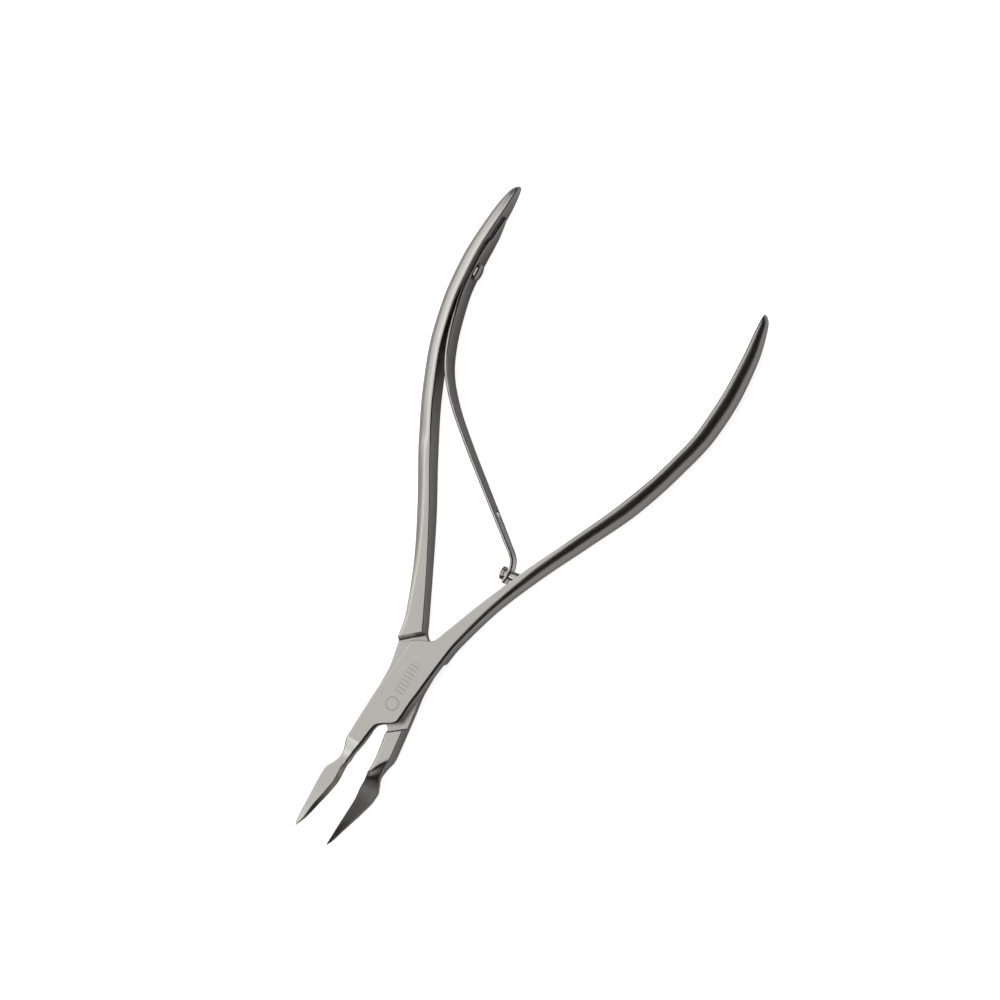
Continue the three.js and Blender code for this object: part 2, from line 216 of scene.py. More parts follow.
def curve(points):
    """Monotone cubic through (x, value) points, in either order of x."""
    p = sorted(points)
    n = len(p)
    steps = [p[i + 1][0] - p[i][0] for i in range(n - 1)]
    slopes = [(p[i + 1][1] - p[i][1]) / steps[i] for i in range(n - 1)]
    tangents = [slopes[0]]
    for i in range(1, n - 1):
        if slopes[i - 1] * slopes[i] <= 0:
            tangents.append(0.0)
            continue
        w1 = 2 * steps[i] + steps[i - 1]
        w2 = steps[i] + 2 * steps[i - 1]
        tangents.append((w1 + w2) / (w1 / slopes[i - 1] + w2 / slopes[i]))
    tangents.append(slopes[-1])

    def value(x):
        if x <= p[0][0]:
            return p[0][1]
        if x >= p[-1][0]:
            return p[-1][1]
        i = 0
        while x > p[i + 1][0]:
            i += 1
        h = steps[i]
        t = (x - p[i][0]) / h
        return ((1 + 2 * t) * (1 - t) ** 2 * p[i][1] + t * t * (3 - 2 * t) * p[i + 1][1]
                + t * (1 - t) ** 2 * h * tangents[i] + t * t * (t - 1) * h * tangents[i + 1])

    return value


def smooth_step(x, low, high):
    """0 at low, 1 at high, whichever of the two is greater."""
    t = min(1.0, max(0.0, (x - low) / (high - low)))
    return t * t * (3 - 2 * t)


def new_object(name, vertices, faces):
    mesh = bpy.data.meshes.new(name)
    mesh.from_pydata([PIVOT + Vector(v) * MM for v in vertices], [], faces)
    mesh.update()
    fix = bmesh.new()
    fix.from_mesh(mesh)
    bmesh.ops.recalc_face_normals(fix, faces=fix.faces)
    fix.to_mesh(mesh)
    fix.free()
    obj = bpy.data.objects.new(name, mesh)
    bpy.context.scene.collection.objects.link(obj)
    return obj


def stacked(name, rings):
    """A closed body from rings with the same number of points."""
    count = len(rings[0])
    vertices = [point for ring in rings for point in ring]
    faces = []
    for r in range(len(rings) - 1):
        for k in range(count):
            a = r * count + k
            b = r * count + (k + 1) % count
            faces.append((a, b, b + count, a + count))
    faces.append(tuple(range(count - 1, -1, -1)))
    faces.append(tuple(range((len(rings) - 1) * count, len(rings) * count)))
    return new_object(name, vertices, faces)


def apply_all(obj):
    graph = bpy.context.evaluated_depsgraph_get()
    done = bpy.data.meshes.new_from_object(obj.evaluated_get(graph))
    obj.modifiers.clear()
    obj.data = done


def cut(obj, *cutters):
    for cutter in cutters:
        change = obj.modifiers.new("cut", "BOOLEAN")
        change.operation = "DIFFERENCE"
        change.solver = "EXACT"
        change.object = cutter
    bpy.context.view_layer.update()
    apply_all(obj)
    for cutter in cutters:
        bpy.data.objects.remove(cutter)


def finish_shading(obj):
    obj.data.polygons.foreach_set("use_smooth", [True] * len(obj.data.polygons))
    obj.data.set_sharp_from_angle(angle=SHARP_ANGLE)
    weighted = obj.modifiers.new("face_weighted_normals", "WEIGHTED_NORMAL")
    weighted.keep_sharp = True
    weighted.weight = NORMAL_WEIGHT


# ---- the arms ----
QUADRANT = 12
CORNER_STEPS = 4
PARALLEL = 1e-3

# Where the points of a face lie, as shares of its width, closer together beside its edges.
LAP_SHARES = [0.03, 0.2, 0.35, 0.5, 0.65, 0.8, 0.97, 1]
WALL_SHARES = [0, 0.04, 0.35, 0.65, 0.96, 1]
BACK_SHARES = [0, 0.03, 0.35, 0.65, 0.97]

# Sections along an arm: the first ones from the end of the handle, then one every so often.
END_STATIONS = [0, 0.15, 0.4, 0.8]
EVEN_FROM = 1.3
END_LENGTH = 8
JOINT_FROM_Y = -12
LAST_GAP = 0.2
JOINT_STEP = 0.3
END_STEP = 0.5
HANDLE_STEP = 0.9

# Where the arm's middle line is taken, and the finer table of it for the grain.
MIDDLE_STATIONS = range(-94, 34, 4)
GRAIN_STATIONS = np.arange(-100, 36, 0.5)

HEIGHTS = {
    "handle": curve(HANDLE_HEIGHT),
    "outside": curve(OUTSIDE_HEIGHT),
    "blade_inner": curve(BLADE_INNER_HEIGHT),
    "blade_outer": curve(BLADE_OUTER_HEIGHT),
    "bulge": curve(BULGE),
    "lean": curve(JAW_LEAN),
}


def spread(a, b, shares):
    return [(a[0] + (b[0] - a[0]) * s, a[1] + (b[1] - a[1]) * s) for s in shares]


def corner(a, centre, b):
    """Points from a to b round a quarter ellipse about centre, ends left out."""
    out = []
    for i in range(1, CORNER_STEPS):
        t = i / CORNER_STEPS * math.pi / 2
        out.append((centre[0] + (a[0] - centre[0]) * math.cos(t) + (b[0] - centre[0]) * math.sin(t),
                    centre[1] + (a[1] - centre[1]) * math.cos(t) + (b[1] - centre[1]) * math.sin(t)))
    return out


def outer_flank(right, height, round_, lean, bevel, middle, blade, edge_break):
    """Half of the arm's right side, from its middle up or down: a round flank that turns into a bevel."""
    points = []
    break_from = math.sin(EDGE_BREAK_FROM * math.pi / 2)
    for k in range(QUADRANT + 1):
        a = k / QUADRANT * math.pi / 2
        z = height * math.sin(a)
        broken = edge_break * max(0.0, (math.sin(a) - break_from) / (1 - break_from))
        rounded = (right - round_ * (1 - math.cos(a)) - lean * z / JOINT_HALF - broken, z)
        t = k / QUADRANT
        flat = (right - bevel * t, middle + (height - middle) * t)
        points.append(tuple(start + (end - start) * blade for start, end in zip(rounded, flat)))
    return points


def lap_top(half, y, share):
    """Height of the lap side, a share of the way across it: a slanting scoop, then the blade's slope."""
    front = SCOOP_INNER_Y + (SCOOP_OUTER_Y - SCOOP_INNER_Y) * share
    blade = HEIGHTS["blade_inner"](y) * (1 - share) + HEIGHTS["blade_outer"](y) * share
    return half + (min(half, blade) - half) * smooth_step(y, front, SCOOP_END_Y)


def arm_section(shape, y):
    """One ring of points round an arm, which lies with its lap side up."""
    left = shape["left"](y)
    right = max(shape["right"](y), left + LEAST_WIDTH)
    width = right - left
    half = HEIGHTS["handle"](y - shape["tip"])
    low = -min(half, HEIGHTS["outside"](y))
    inner_top = lap_top(half, y, 0)
    outer_top = lap_top(half, y, 1)
    bevel = shape["bevel"](y)
    lean = HEIGHTS["lean"](y)
    round_ = min(HEIGHTS["bulge"](y), BULGE_LIMIT * width)
    edge = min(EDGE_ROUND, EDGE_LIMIT * width)
    blade = smooth_step(y, BLADE_START_Y, BLADE_FULL_Y)
    edge_break = shape["edge_break"](y) * (1 - blade)
    middle = (inner_top + low) / 2 * blade
    top = outer_flank(right, inner_top, round_, lean, bevel, middle, blade, edge_break)
    bottom = outer_flank(right, low, round_, lean, bevel, middle, blade, edge_break)
    top_corner = corner((left + edge, outer_top), (left + edge, outer_top - edge),
                        (left, outer_top - edge))
    bottom_corner = corner((left, low + edge), (left + edge, low + edge), (left + edge, low))
    across = spread(top[-1], (left + edge, outer_top), LAP_SHARES)
    ring = list(top)
    ring += [(x, lap_top(half, y, share)) for (x, _), share in zip(across, LAP_SHARES)]
    ring += top_corner
    ring += spread((left, outer_top - edge), (left, low + edge), WALL_SHARES)
    ring += bottom_corner
    ring += spread((left + edge, low), bottom[-1], BACK_SHARES)
    ring += bottom[:0:-1]
    return [(x, y, z) for x, z in ring]


def stations(tip):
    """Places along the arm, closer where its shape changes fast."""
    out = [tip + start for start in END_STATIONS]
    y = tip + EVEN_FROM
    while y < BLADE_TIP - LAST_GAP:
        out.append(y)
        if y > JOINT_FROM_Y:
            y += JOINT_STEP
        elif y < tip + END_LENGTH:
            y += END_STEP
        else:
            y += HANDLE_STEP
    return out + [BLADE_TIP]


def lap_cutter():
    """What the lap takes off one arm: a drafted block with a small fillet at the foot of each shoulder."""
    layers = []
    for step in range(FILLET_STEPS + 1):
        a = step / FILLET_STEPS * math.pi / 2
        height = SHOULDER_FILLET * (1 - math.cos(a)) - LAP_GAP / 2
        layers.append((height, -SHOULDER_FILLET * math.sin(a), -JAW_SHOULDER_FILLET * math.sin(a)))
    layers.append((LAP_CUT_HEIGHT, -SHOULDER_FILLET - SHOULDER_DRAFT,
                   -JAW_SHOULDER_FILLET - SHOULDER_DRAFT))
    rings = []
    for height, handle_move, jaw_move in layers:
        handle_side = inset(LAP_CUT, handle_move)
        jaw_side = inset(LAP_CUT, jaw_move)
        rings.append([(*(by_handle if y < LAP_CUT_MIDDLE_Y else by_jaw), height)
                      for by_handle, by_jaw, (_, y) in zip(handle_side, jaw_side, LAP_CUT)])
    return stacked("lap_cutter", rings)


def inset(outline, distance):
    """An outline with all its sides moved in by distance, or out where it is negative."""
    count = len(outline)
    area = sum(outline[i][0] * outline[(i + 1) % count][1] - outline[(i + 1) % count][0] * outline[i][1]
               for i in range(count))
    side = 1 if area > 0 else -1
    lines = []
    for i in range(count):
        (x0, y0), (x1, y1) = outline[i], outline[(i + 1) % count]
        length = math.hypot(x1 - x0, y1 - y0)
        nx, ny = -(y1 - y0) / length * side, (x1 - x0) / length * side
        lines.append((nx, ny, nx * (x0 + nx * distance) + ny * (y0 + ny * distance)))
    moved = []
    for i in range(count):
        (a, b, e), (c, d, f) = lines[i - 1], lines[i]
        det = a * d - b * c
        if abs(det) < PARALLEL:
            moved.append((outline[i][0] + a * distance, outline[i][1] + b * distance))
            continue
        moved.append(((e * d - b * f) / det, (a * f - e * c) / det))
    return moved


def half_turn(obj):
    """Turns a mesh half a turn about the line through the pivot along Y."""
    spin = Matrix.Translation(PIVOT) @ Matrix.Rotation(math.pi, 4, "Y") @ Matrix.Translation(-PIVOT)
    obj.data.transform(spin)
    obj.data.update()


def add_grain(obj, shape, turned_over):
    """Stores where each point lies along, across and up the arm, in mm, for the material's grain."""
    middle = curve([(y, (shape["left"](y) + shape["right"](y)) / 2) for y in MIDDLE_STATIONS])
    table_y = GRAIN_STATIONS
    table_x = np.array([middle(y) for y in table_y])
    run = np.concatenate([[0], np.cumsum(np.hypot(np.diff(table_x), np.diff(table_y)))])
    slope = np.gradient(table_x, table_y)
    flat = np.zeros(len(obj.data.vertices) * 3)
    obj.data.vertices.foreach_get("co", flat)
    place = (flat.reshape(-1, 3) - np.array(PIVOT)) / MM
    x = -place[:, 0] if turned_over else place[:, 0]
    y = place[:, 1]
    across = (x - np.interp(y, table_y, table_x)) / np.sqrt(1 + np.interp(y, table_y, slope) ** 2)
    grain = np.stack([np.interp(y, table_y, run), across, place[:, 2]], 1).astype(np.float32)
    attribute = obj.data.attributes.new("grain", "FLOAT_VECTOR", "POINT")
    attribute.data.foreach_set("vector", grain.ravel())


def make_arm(name, outline, turned_over, hole):
    """One arm: its tip is a number and the rest of its outline are curves of y."""
    tip = outline["tip"]
    shape = {key: curve(points) for key, points in outline.items() if key != "tip"}
    arm = stacked(name, [arm_section({"tip": tip, **shape}, y) for y in stations(tip)])
    cut(arm, lap_cutter())
    if turned_over:
        half_turn(arm)
    cut(arm, hole)
    add_grain(arm, shape, turned_over)
    finish_shading(arm)
    return arm


# ---- turned pieces and blocks ----
SEGMENTS = 48
ON_AXIS = 1e-6


def turned(name, profile, place=None):
    """A body of revolution about Z from a profile of (radius, z), then placed by a matrix in mm."""
    place = place or Matrix.Identity(4)
    vertices = []
    rings = []
    for radius, z in profile:
        if radius < ON_AXIS:
            rings.append([len(vertices)])
            vertices.append(place @ Vector((0, 0, z)))
            continue
        rings.append(list(range(len(vertices), len(vertices) + SEGMENTS)))
        for k in range(SEGMENTS):
            a = 2 * math.pi * k / SEGMENTS
            vertices.append(place @ Vector((radius * math.cos(a), radius * math.sin(a), z)))
    faces = []
    for low, high in zip(rings, rings[1:]):
        for k in range(SEGMENTS):
            n = (k + 1) % SEGMENTS
            if len(low) == 1:
                faces.append((low[0], high[n], high[k]))
            elif len(high) == 1:
                faces.append((low[k], low[n], high[0]))
            else:
                faces.append((low[k], low[n], high[n], high[k]))
    return new_object(name, vertices, faces)


def cylinder(radius, low, high):
    """A cylinder's profile for turned."""
    return [(0, low), (radius, low), (radius, high), (0, high)]


def raised(profile, height):
    return [(radius, height + z) for radius, z in profile]


def block(name, size, place):
    x, y, z = (s / 2 for s in size)
    plan = [(-x, -y), (x, -y), (x, y), (-x, y)]
    corners = [(*point, height) for height in (-z, z) for point in plan]
    faces = [(0, 3, 2, 1), (4, 5, 6, 7), (0, 1, 5, 4), (1, 2, 6, 5), (2, 3, 7, 6), (3, 0, 4, 7)]
    return new_object(name, [place @ Vector(c) for c in corners], faces)


def standing(face, y):
    """The place of something that stands on an arm's inner face at y, square to the face."""
    slope = face(y + 0.5) - face(y - 0.5)
    out = Vector((-1, slope, 0)).normalized()
    turn = Vector((0, 0, 1)).rotation_difference(out).to_matrix().to_4x4()
    return Matrix.Translation(Vector((face(y), y, 0))) @ turn


# ---- the spring ----
SPAN_STEPS = 8
LAID_STEPS = 4
LEAST_SPAN = 1e-4
STRIP_CORNER_STEPS = 3

spring_lower = curve(SPRING_LOWER)
spring_upper = curve(SPRING_UPPER)


def spring_centre(face):
    """(x, y, width) along the spring: its free part, then the part that lies along the handle."""
    points = [Vector(p) for p in SPRING_PATH]
    lift = SPRING_THICK / 2 + SPRING_LIFT
    for i in range(LAID_STEPS + 1):
        y = SPRING_LAID_Y + (SPRING_END_Y - SPRING_LAID_Y) * i / LAID_STEPS
        points.append(Vector((face(y) - lift, y, SPRING_FIXED_WIDTH)))
    return points


def catmull_rom(points):
    """Centripetal Catmull-Rom through points, SPAN_STEPS pieces in each span."""
    ends = [points[0] * 2 - points[1], *points, points[-1] * 2 - points[-2]]
    out = []
    for i in range(1, len(ends) - 2):
        p0, p1, p2, p3 = ends[i - 1:i + 3]
        t0 = 0.0
        t1 = t0 + math.sqrt(max((p1 - p0).length, LEAST_SPAN))
        t2 = t1 + math.sqrt(max((p2 - p1).length, LEAST_SPAN))
        t3 = t2 + math.sqrt(max((p3 - p2).length, LEAST_SPAN))
        for k in range(SPAN_STEPS):
            t = t1 + (t2 - t1) * k / SPAN_STEPS
            a1 = p0 * ((t1 - t) / (t1 - t0)) + p1 * ((t - t0) / (t1 - t0))
            a2 = p1 * ((t2 - t) / (t2 - t1)) + p2 * ((t - t1) / (t2 - t1))
            a3 = p2 * ((t3 - t) / (t3 - t2)) + p3 * ((t - t2) / (t3 - t2))
            b1 = a1 * ((t2 - t) / (t2 - t0)) + a2 * ((t - t0) / (t2 - t0))
            b2 = a2 * ((t3 - t) / (t3 - t1)) + a3 * ((t - t1) / (t3 - t1))
            out.append(b1 * ((t2 - t) / (t2 - t1)) + b2 * ((t - t1) / (t2 - t1)))
    return out + [points[-1]]


def strip_section(half_width, half_thick, round_):
    """A flat strip's section as (across the thickness, along the width), with rounded edges."""
    ring = []
    for sx, sz in ((1, 1), (-1, 1), (-1, -1), (1, -1)):
        cx, cz = sx * (half_thick - round_), sz * (half_width - round_)
        for i in range(STRIP_CORNER_STEPS + 1):
            share = i / STRIP_CORNER_STEPS
            a = (share if sx * sz > 0 else 1 - share) * math.pi / 2
            ring.append((cx + sx * round_ * math.cos(a), cz + sz * round_ * math.sin(a)))
    return ring


def fixed_share(y):
    """How far the strip has changed from its free shape to the shape of its fixed end."""
    return smooth_step(y, SPRING_FREE_Y, SPRING_FIXED_Y)


def spring_edges(point):
    """Heights of the spring's lower and upper edge at a point of its centre line."""
    fixed = fixed_share(point.y)
    lower = -point.z / 2 + (spring_lower(point.y) + point.z / 2) * fixed
    upper = point.z / 2 + (spring_upper(point.y) - point.z / 2) * fixed
    return lower, upper


def make_spring(handle_face):
    centre = catmull_rom(spring_centre(handle_face))
    rings = []
    for i, point in enumerate(centre):
        ahead = centre[min(i + 1, len(centre) - 1)]
        behind = centre[max(i - 1, 0)]
        along = Vector((ahead.x - behind.x, ahead.y - behind.y)).normalized()
        nx, ny = -along.y, along.x
        lower, upper = spring_edges(point)
        middle = (lower + upper) / 2
        round_ = min(SPRING_EDGE_ROUND, 0.45 * (upper - lower))
        slant = SPRING_EDGE_SLANT * fixed_share(point.y)
        ring = []
        for t, w in strip_section((upper - lower) / 2, SPRING_THICK / 2, round_):
            drop = slant * (SPRING_THICK / 2 - t) * (w > 0)
            ring.append((point.x + nx * t, point.y + ny * t, middle + w - drop))
        rings.append(ring)
    strip = stacked("spring_strip", rings)
    slot_place = Matrix.Translation(Vector((0, SLOT_ROOT, 0)))
    slot = turned("slot_end", cylinder(SLOT_HALF, -SLOT_REACH, SLOT_REACH),
                  slot_place @ Matrix.Rotation(math.pi / 2, 4, "Y"))
    mouth = block("slot_mouth", (2 * SLOT_REACH, SLOT_MOUTH, 2 * SLOT_HALF),
                  Matrix.Translation(Vector((0, SLOT_ROOT + SLOT_MOUTH / 2, 0))))
    hole = turned("screw_hole", cylinder(SPRING_HOLE_RADIUS, -SPRING_HOLE_REACH, SPRING_HOLE_REACH),
                  standing(handle_face, SPRING_SCREW_Y))
    cut(strip, slot)
    cut(strip, mouth)
    cut(strip, hole)
    finish_shading(strip)
    return strip


# ---- small parts ----
def make_pivot_screw():
    back = -JOINT_HALF + SCREW_INSET
    end = JOINT_HALF - SHANK_END_GAP
    edge_in, edge_deep = HEAD_EDGE
    profile = [(0, back), (HEAD_RADIUS - edge_in, back), (HEAD_RADIUS, back + edge_deep),
               (SHANK_RADIUS, back + HEAD_DEPTH), (SHANK_RADIUS, end), (0, end)]
    screw = turned("pivot_screw_slotted", profile)
    place = Matrix.Translation(Vector((0, 0, back))) @ Matrix.Rotation(PIVOT_SLOT_TURN, 4, "Z")
    cut(screw, block("driver_slot", (2 * HEAD_RADIUS + 1, PIVOT_SLOT_WIDTH, PIVOT_SLOT_HEIGHT), place))
    finish_shading(screw)
    return screw


def pivot_hole(reach):
    """The countersunk hole of the pivot screw, from behind the back arm up to reach."""
    behind = -JOINT_HALF - 1
    back = -JOINT_HALF + SCREW_INSET
    head = HEAD_RADIUS + HEAD_ROOM
    shank = SHANK_RADIUS + SHANK_ROOM
    return turned("pivot_hole", [(0, behind), (head, behind), (head, back),
                                 (shank, back + HEAD_DEPTH + HEAD_ROOM), (shank, reach), (0, reach)])


def make_spring_screw(handle_face):
    under_head = SPRING_THICK + SPRING_SCREW_GAP
    crown = under_head + SPRING_SCREW_HEAD[-1][1]
    place = standing(handle_face, SPRING_SCREW_Y)
    profile = [(0, SPRING_SCREW_ROOT), (SPRING_SCREW_RADIUS, SPRING_SCREW_ROOT),
               (SPRING_SCREW_RADIUS, under_head), *raised(SPRING_SCREW_HEAD, under_head)]
    screw = turned("spring_screw_slotted", profile, place)
    cut(screw, block("driver_slot", SPRING_SCREW_SLOT, place @ Matrix.Translation(Vector((0, 0, crown)))))
    finish_shading(screw)
    return screw


def make_stud(stud_face):
    out = Vector((1, STUD_TILT, 0)).normalized()
    turn = Vector((0, 0, 1)).rotation_difference(out).to_matrix().to_4x4()
    place = Matrix.Translation(Vector((-stud_face(STUD_Y), STUD_Y, 0))) @ turn
    profile = [(0, STUD_ROOT), (STUD_RADIUS, STUD_ROOT), (STUD_RADIUS, STUD_GRIP),
               *raised(STUD_HEAD, STUD_GRIP)]
    stud = turned("spring_stud_headed", profile, place)
    finish_shading(stud)
    return stud


# ---- materials ----
class Nodes:
    """Short calls for building one material's nodes."""

    def __init__(self, name):
        self.material = bpy.data.materials.new(name)
        self.material.use_nodes = True
        self.tree = self.material.node_tree
        self.shader = self.tree.nodes["Principled BSDF"]

    def add(self, kind, inputs=None, **settings):
        node = self.tree.nodes.new(kind)
        for key, value in settings.items():
            setattr(node, key, value)
        for key, value in (inputs or {}).items():
            self.feed(value, node.inputs[key])
        return node

    def feed(self, value, socket):
        if isinstance(value, bpy.types.NodeSocket):
            self.tree.links.new(value, socket)
        else:
            socket.default_value = value

    def math(self, operation, a, b=0.0):
        return self.add("ShaderNodeMath", {0: a, 1: b}, operation=operation).outputs[0]

    def noise(self, vector, detail, roughness):
        node = self.add("ShaderNodeTexNoise", {"Vector": vector, "Scale": 1.0, "Detail": detail,
                                               "Roughness": roughness})
        return node.outputs["Fac"]

    def stretched(self, vector, scale):
        node = self.add("ShaderNodeMapping", {"Vector": vector, "Scale": scale})
        return node.outputs["Vector"]

    def ramp(self, value, low, high, out_low, out_high):
        node = self.add("ShaderNodeMapRange", {"Value": value, "From Min": low, "From Max": high,
                                               "To Min": out_low, "To Max": out_high})
        return node.outputs["Result"]

    def mix_colour(self, factor, a, b):
        node = self.add("ShaderNodeMix", {"Factor": factor}, data_type="RGBA")
        self.feed(a, node.inputs[6])
        self.feed(b, node.inputs[7])
        return node.outputs[2]


# Colours, and the least and greatest roughness of each finish.
STEEL = (0.53, 0.51, 0.48, 1)
STEEL_DARK = (0.49, 0.47, 0.44, 1)
# The spring's two colours are a darker copy of the steel's: painted shade that dims the whole spring.
SPRING_STEEL_SHADED = (0.5, 0.48, 0.46, 1)
SPRING_STEEL_SHADED_DARK = (0.44, 0.42, 0.4, 1)
SATIN = (0.24, 0.34)
ROLLED = (0.18, 0.28)
TURNED = (0.2, 0.3)
BRIGHT = (0.15, 0.25)

# Grain per millimetre along, across and up, and the relief it gives, in metres.
BRUSHED_GRAIN = (0.6, 12.0, 12.0)
FINE_GRAIN = (4.0, 14.0, 14.0)
CLOUDS = (0.12, 0.3, 0.3)
BUMP_STRENGTH = 0.12
BUMP_DISTANCE = 0.00001
EDGE_SOFTNESS = 0.00008

# The mark, in millimetres from the pivot. Each pair is where a line starts to fade and where it has faded.
MARK_X = -0.7
MARK_FACE_MARGIN = 0.1
RING_Y = 4.6
RING_RADIUS = 1.25
RING_LINE = (0.1, 0.2)
TICK_PITCH = 0.8
TICK_LINE = (0.08, 0.15)
TICK_ENDS = (0.95, 1.1)
ROW_Y = -1.0
ROW_ENDS = (3.35, 3.45)
MARK_COLOUR = (0.3, 0.29, 0.28, 1)
MARK_ROUGHNESS = 0.5
MARK_AMOUNT = 0.6


def steel(name, colour, dark, roughness, grain=True):
    """Brushed steel. The grain runs along an arm, which stores it, and along X on the other pieces."""
    n = Nodes(name)
    shader = n.shader
    shader.inputs["Metallic"].default_value = 1.0
    if grain:
        place = n.add("ShaderNodeAttribute", attribute_name="grain").outputs["Vector"]
    else:
        coordinates = n.add("ShaderNodeTexCoord").outputs["Object"]
        place = n.stretched(coordinates, (1 / MM, 1 / MM, 1 / MM))
    brushed = n.noise(n.stretched(place, BRUSHED_GRAIN), 4.0, 0.6)
    fine = n.noise(n.stretched(place, FINE_GRAIN), 2.0, 0.5)
    cloud = n.noise(n.stretched(place, CLOUDS), 2.0, 0.5)
    both = n.math("ADD", n.math("MULTIPLY", brushed, 0.6), n.math("MULTIPLY", cloud, 0.4))
    n.feed(n.mix_colour(n.ramp(both, 0.35, 0.65, 0.0, 1.0), dark, colour), shader.inputs["Base Color"])
    n.feed(n.ramp(both, 0.3, 0.7, *roughness), shader.inputs["Roughness"])
    height = n.math("ADD", n.math("MULTIPLY", brushed, 0.7), n.math("MULTIPLY", fine, 0.3))
    edge_round = n.add("ShaderNodeBevel", {"Radius": EDGE_SOFTNESS}, samples=4).outputs["Normal"]
    bumped = n.add("ShaderNodeBump", {"Height": height, "Strength": BUMP_STRENGTH,
                                      "Distance": BUMP_DISTANCE, "Normal": edge_round})
    n.feed(bumped.outputs["Normal"], shader.inputs["Normal"])
    return n


def away(n, value, middle):
    """How far a value is from a middle."""
    return n.math("ABSOLUTE", n.math("SUBTRACT", value, middle))


def fading(n, distance, line):
    """1 up to where a line starts to fade, and 0 from where it has faded."""
    return n.ramp(distance, *line, 1.0, 0.0)


def etched_mark(n):
    """A ring and a row of short ticks on the front joint face, as a mask."""
    coordinates = n.add("ShaderNodeTexCoord").outputs["Object"]
    moved = n.add("ShaderNodeVectorMath", {0: coordinates, 1: PIVOT}, operation="SUBTRACT").outputs[0]
    scaled = n.add("ShaderNodeVectorMath", {0: moved, "Scale": 1 / MM}, operation="SCALE").outputs[0]
    place = n.add("ShaderNodeSeparateXYZ", {0: scaled})
    x = n.math("SUBTRACT", place.outputs[0], MARK_X)
    y = place.outputs[1]
    on_face = n.math("GREATER_THAN", place.outputs[2], JOINT_HALF - MARK_FACE_MARGIN)
    ring_y = n.math("SUBTRACT", y, RING_Y)
    from_centre = n.math("SQRT", n.math("ADD", n.math("POWER", x, 2.0), n.math("POWER", ring_y, 2.0)))
    ring = fading(n, away(n, from_centre, RING_RADIUS), RING_LINE)
    phase = away(n, n.math("FRACT", n.math("DIVIDE", y, TICK_PITCH)), 0.5)
    tick = fading(n, n.math("MULTIPLY", phase, TICK_PITCH), TICK_LINE)
    row = fading(n, away(n, y, ROW_Y), ROW_ENDS)
    column = fading(n, n.math("ABSOLUTE", x), TICK_ENDS)
    ticks = n.math("MULTIPLY", tick, n.math("MULTIPLY", row, column))
    return n.math("MULTIPLY", on_face, n.math("MAXIMUM", ring, ticks))


def etch(n, mark):
    """Mixes a darker, rougher mark into the steel's colour and roughness."""
    amount = n.math("MULTIPLY", mark, MARK_AMOUNT)
    colour = n.shader.inputs["Base Color"]
    n.feed(n.mix_colour(amount, colour.links[0].from_socket, MARK_COLOUR), colour)
    roughness = n.shader.inputs["Roughness"]
    plain = roughness.links[0].from_socket
    mixed = n.add("ShaderNodeMix", {0: amount, 2: plain, 3: MARK_ROUGHNESS}, data_type="FLOAT")
    n.feed(mixed.outputs[0], roughness)


def paint(obj, nodes):
    obj.data.materials.clear()
    obj.data.materials.append(nodes.material)


# ---- studio, in metres and watts ----
TARGET = PIVOT + Vector((2.55, -38.81, 0.0)) * MM
LEAN = math.radians(16)
ROLL = math.radians(31.21)
FRAME_WIDTH = 0.1895
DISTANCE = 0.7
SENSOR = 36
CLIP_START = 0.05
CLIP_END = 20
WORLD_GLOW = 0.01
FLOOR_HALF = 4
FLOOR_DROP = 0.0001
FLOOR_GLOW = 0.85
WHITE = (1, 1, 1, 1)
PAPER = (0.85, 0.85, 0.85, 1)
PAPER_GREY = (0.8, 0.8, 0.8, 1)

# Each light panel's name, place, width and height, power, and the point it faces.
PANELS = [
    ("key_panel", (0.33, 0.0, 0.8), (1.1, 1.8), 5.6, (0.33, 0.0, 0.0)),
    ("side_panel", (0.95, 0.0, 0.4), (0.8, 1.8), 5.2, (0.0, 0.0, 0.4)),
    ("neck_panel", (0.25, 0.62, 0.7), (0.8, 0.5), 1.0, (0.0, 0.0, 0.0)),
]


def add_camera():
    camera = bpy.data.objects.new("camera", bpy.data.cameras.new("camera"))
    bpy.context.scene.collection.objects.link(camera)
    back = Vector((-math.sin(LEAN), 0, math.cos(LEAN)))
    level = Vector((math.cos(LEAN), 0, math.sin(LEAN)))
    right = -level * math.cos(ROLL) - Vector((0, 1, 0)) * math.sin(ROLL)
    up = level * math.sin(ROLL) - Vector((0, 1, 0)) * math.cos(ROLL)
    turn = Matrix((right, up, back)).transposed().to_4x4()
    camera.matrix_world = Matrix.Translation(TARGET + back * DISTANCE) @ turn
    camera.data.sensor_width = SENSOR
    camera.data.lens = SENSOR * DISTANCE / FRAME_WIDTH
    camera.data.clip_start = CLIP_START
    camera.data.clip_end = CLIP_END
    bpy.context.scene.camera = camera


def add_panel(name, place, size, power, aim):
    light = bpy.data.lights.new(name, "AREA")
    light.shape = "RECTANGLE"
    light.size, light.size_y = size
    light.energy = power
    panel = bpy.data.objects.new(name, light)
    panel.location = place
    panel.rotation_mode = "QUATERNION"
    panel.rotation_quaternion = (Vector(place) - Vector(aim)).to_track_quat("Z", "Y")
    panel.visible_camera = False
    bpy.context.scene.collection.objects.link(panel)


def add_world():
    world = bpy.data.worlds.new("studio")
    bpy.context.scene.world = world
    world.use_nodes = True
    tree = world.node_tree
    background = tree.nodes["Background"]
    backdrop = tree.nodes.new("ShaderNodeBackground")
    backdrop.inputs["Color"].default_value = WHITE
    background.inputs["Color"].default_value = WHITE
    background.inputs["Strength"].default_value = WORLD_GLOW
    path = tree.nodes.new("ShaderNodeLightPath")
    mix = tree.nodes.new("ShaderNodeMixShader")
    tree.links.new(path.outputs["Is Camera Ray"], mix.inputs[0])
    tree.links.new(background.outputs[0], mix.inputs[1])
    tree.links.new(backdrop.outputs[0], mix.inputs[2])
    tree.links.new(mix.outputs[0], tree.nodes["World Output"].inputs["Surface"])


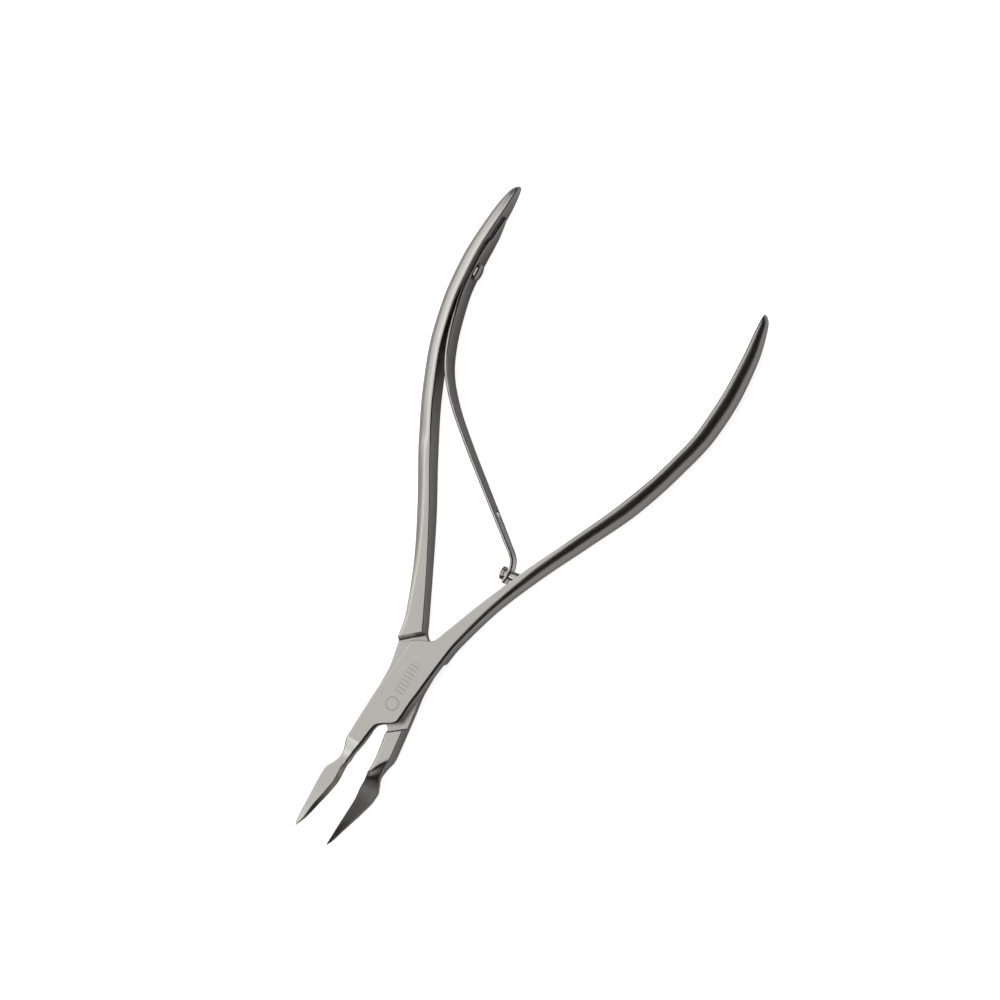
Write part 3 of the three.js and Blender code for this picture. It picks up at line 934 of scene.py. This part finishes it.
def add_floor():
    mesh = bpy.data.meshes.new("floor")
    corners = [(-FLOOR_HALF, -FLOOR_HALF, 0), (FLOOR_HALF, -FLOOR_HALF, 0), (FLOOR_HALF, FLOOR_HALF, 0),
               (-FLOOR_HALF, FLOOR_HALF, 0)]
    mesh.from_pydata(corners, [], [(0, 1, 2, 3)])
    floor = bpy.data.objects.new("floor", mesh)
    floor.location = (0, 0, -FLOOR_DROP)
    bpy.context.scene.collection.objects.link(floor)
    n = Nodes("pale_paper")
    seen = n.add("ShaderNodeAddShader")
    paper = n.add("ShaderNodeBsdfDiffuse", {"Color": PAPER})
    glow = n.add("ShaderNodeEmission", {"Color": WHITE, "Strength": FLOOR_GLOW})
    n.feed(paper.outputs[0], seen.inputs[0])
    n.feed(glow.outputs[0], seen.inputs[1])
    grey = n.add("ShaderNodeBsdfDiffuse", {"Color": PAPER_GREY})
    path = n.add("ShaderNodeLightPath")
    mix = n.add("ShaderNodeMixShader")
    n.feed(path.outputs["Is Camera Ray"], mix.inputs[0])
    n.feed(grey.outputs[0], mix.inputs[1])
    n.feed(seen.outputs[0], mix.inputs[2])
    n.feed(mix.outputs[0], n.tree.nodes["Material Output"].inputs["Surface"])
    n.tree.nodes.remove(n.shader)
    mesh.materials.append(n.material)


# ---- build ----
bpy.context.scene.view_settings.view_transform = "Standard"
add_camera()
add_world()
add_floor()
for panel in PANELS:
    add_panel(*panel)

handle_face = curve(BACK_ARM["left"])
stud_face = curve(FRONT_ARM["left"])

back_arm = make_arm("back_arm", BACK_ARM, False, pivot_hole(HOLE_THROUGH))
front_arm = make_arm("front_arm", FRONT_ARM, True, pivot_hole(JOINT_HALF - HOLE_END_GAP))
spring_strip = make_spring(handle_face)
pivot_screw = make_pivot_screw()
spring_screw = make_spring_screw(handle_face)
stud = make_stud(stud_face)

paint(back_arm, steel("satin_steel", STEEL, STEEL_DARK, SATIN))
front_steel = steel("satin_steel_front", STEEL, STEEL_DARK, SATIN)
etch(front_steel, etched_mark(front_steel))
paint(front_arm, front_steel)
# The spring's darker colours are painted shade; its rolled roughness is its own finish.
paint(spring_strip, steel("spring_steel", SPRING_STEEL_SHADED, SPRING_STEEL_SHADED_DARK, ROLLED, grain=False))
paint(pivot_screw, steel("screw_steel", STEEL, STEEL_DARK, TURNED, grain=False))
paint(spring_screw, steel("bright_steel", STEEL, STEEL_DARK, BRIGHT, grain=False))
paint(stud, steel("stud_steel", STEEL, STEEL_DARK, BRIGHT, grain=False))

pieces = [
    (back_arm, "back_half", "lower_arm", "satin_steel"),
    (front_arm, "front_half", "upper_arm", "satin_steel_front"),
    (pivot_screw, "front_half", "pivot_screw", "screw_steel"),
    (spring_screw, "back_half", "spring_screw", "bright_steel"),
    (stud, "front_half", "spring_stud", "stud_steel"),
    (spring_strip, None, "leaf_spring", "spring_steel"),
]
for piece, body, node, slot in pieces:
    if body:
        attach(piece, body)
    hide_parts(node)


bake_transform(spring_strip)
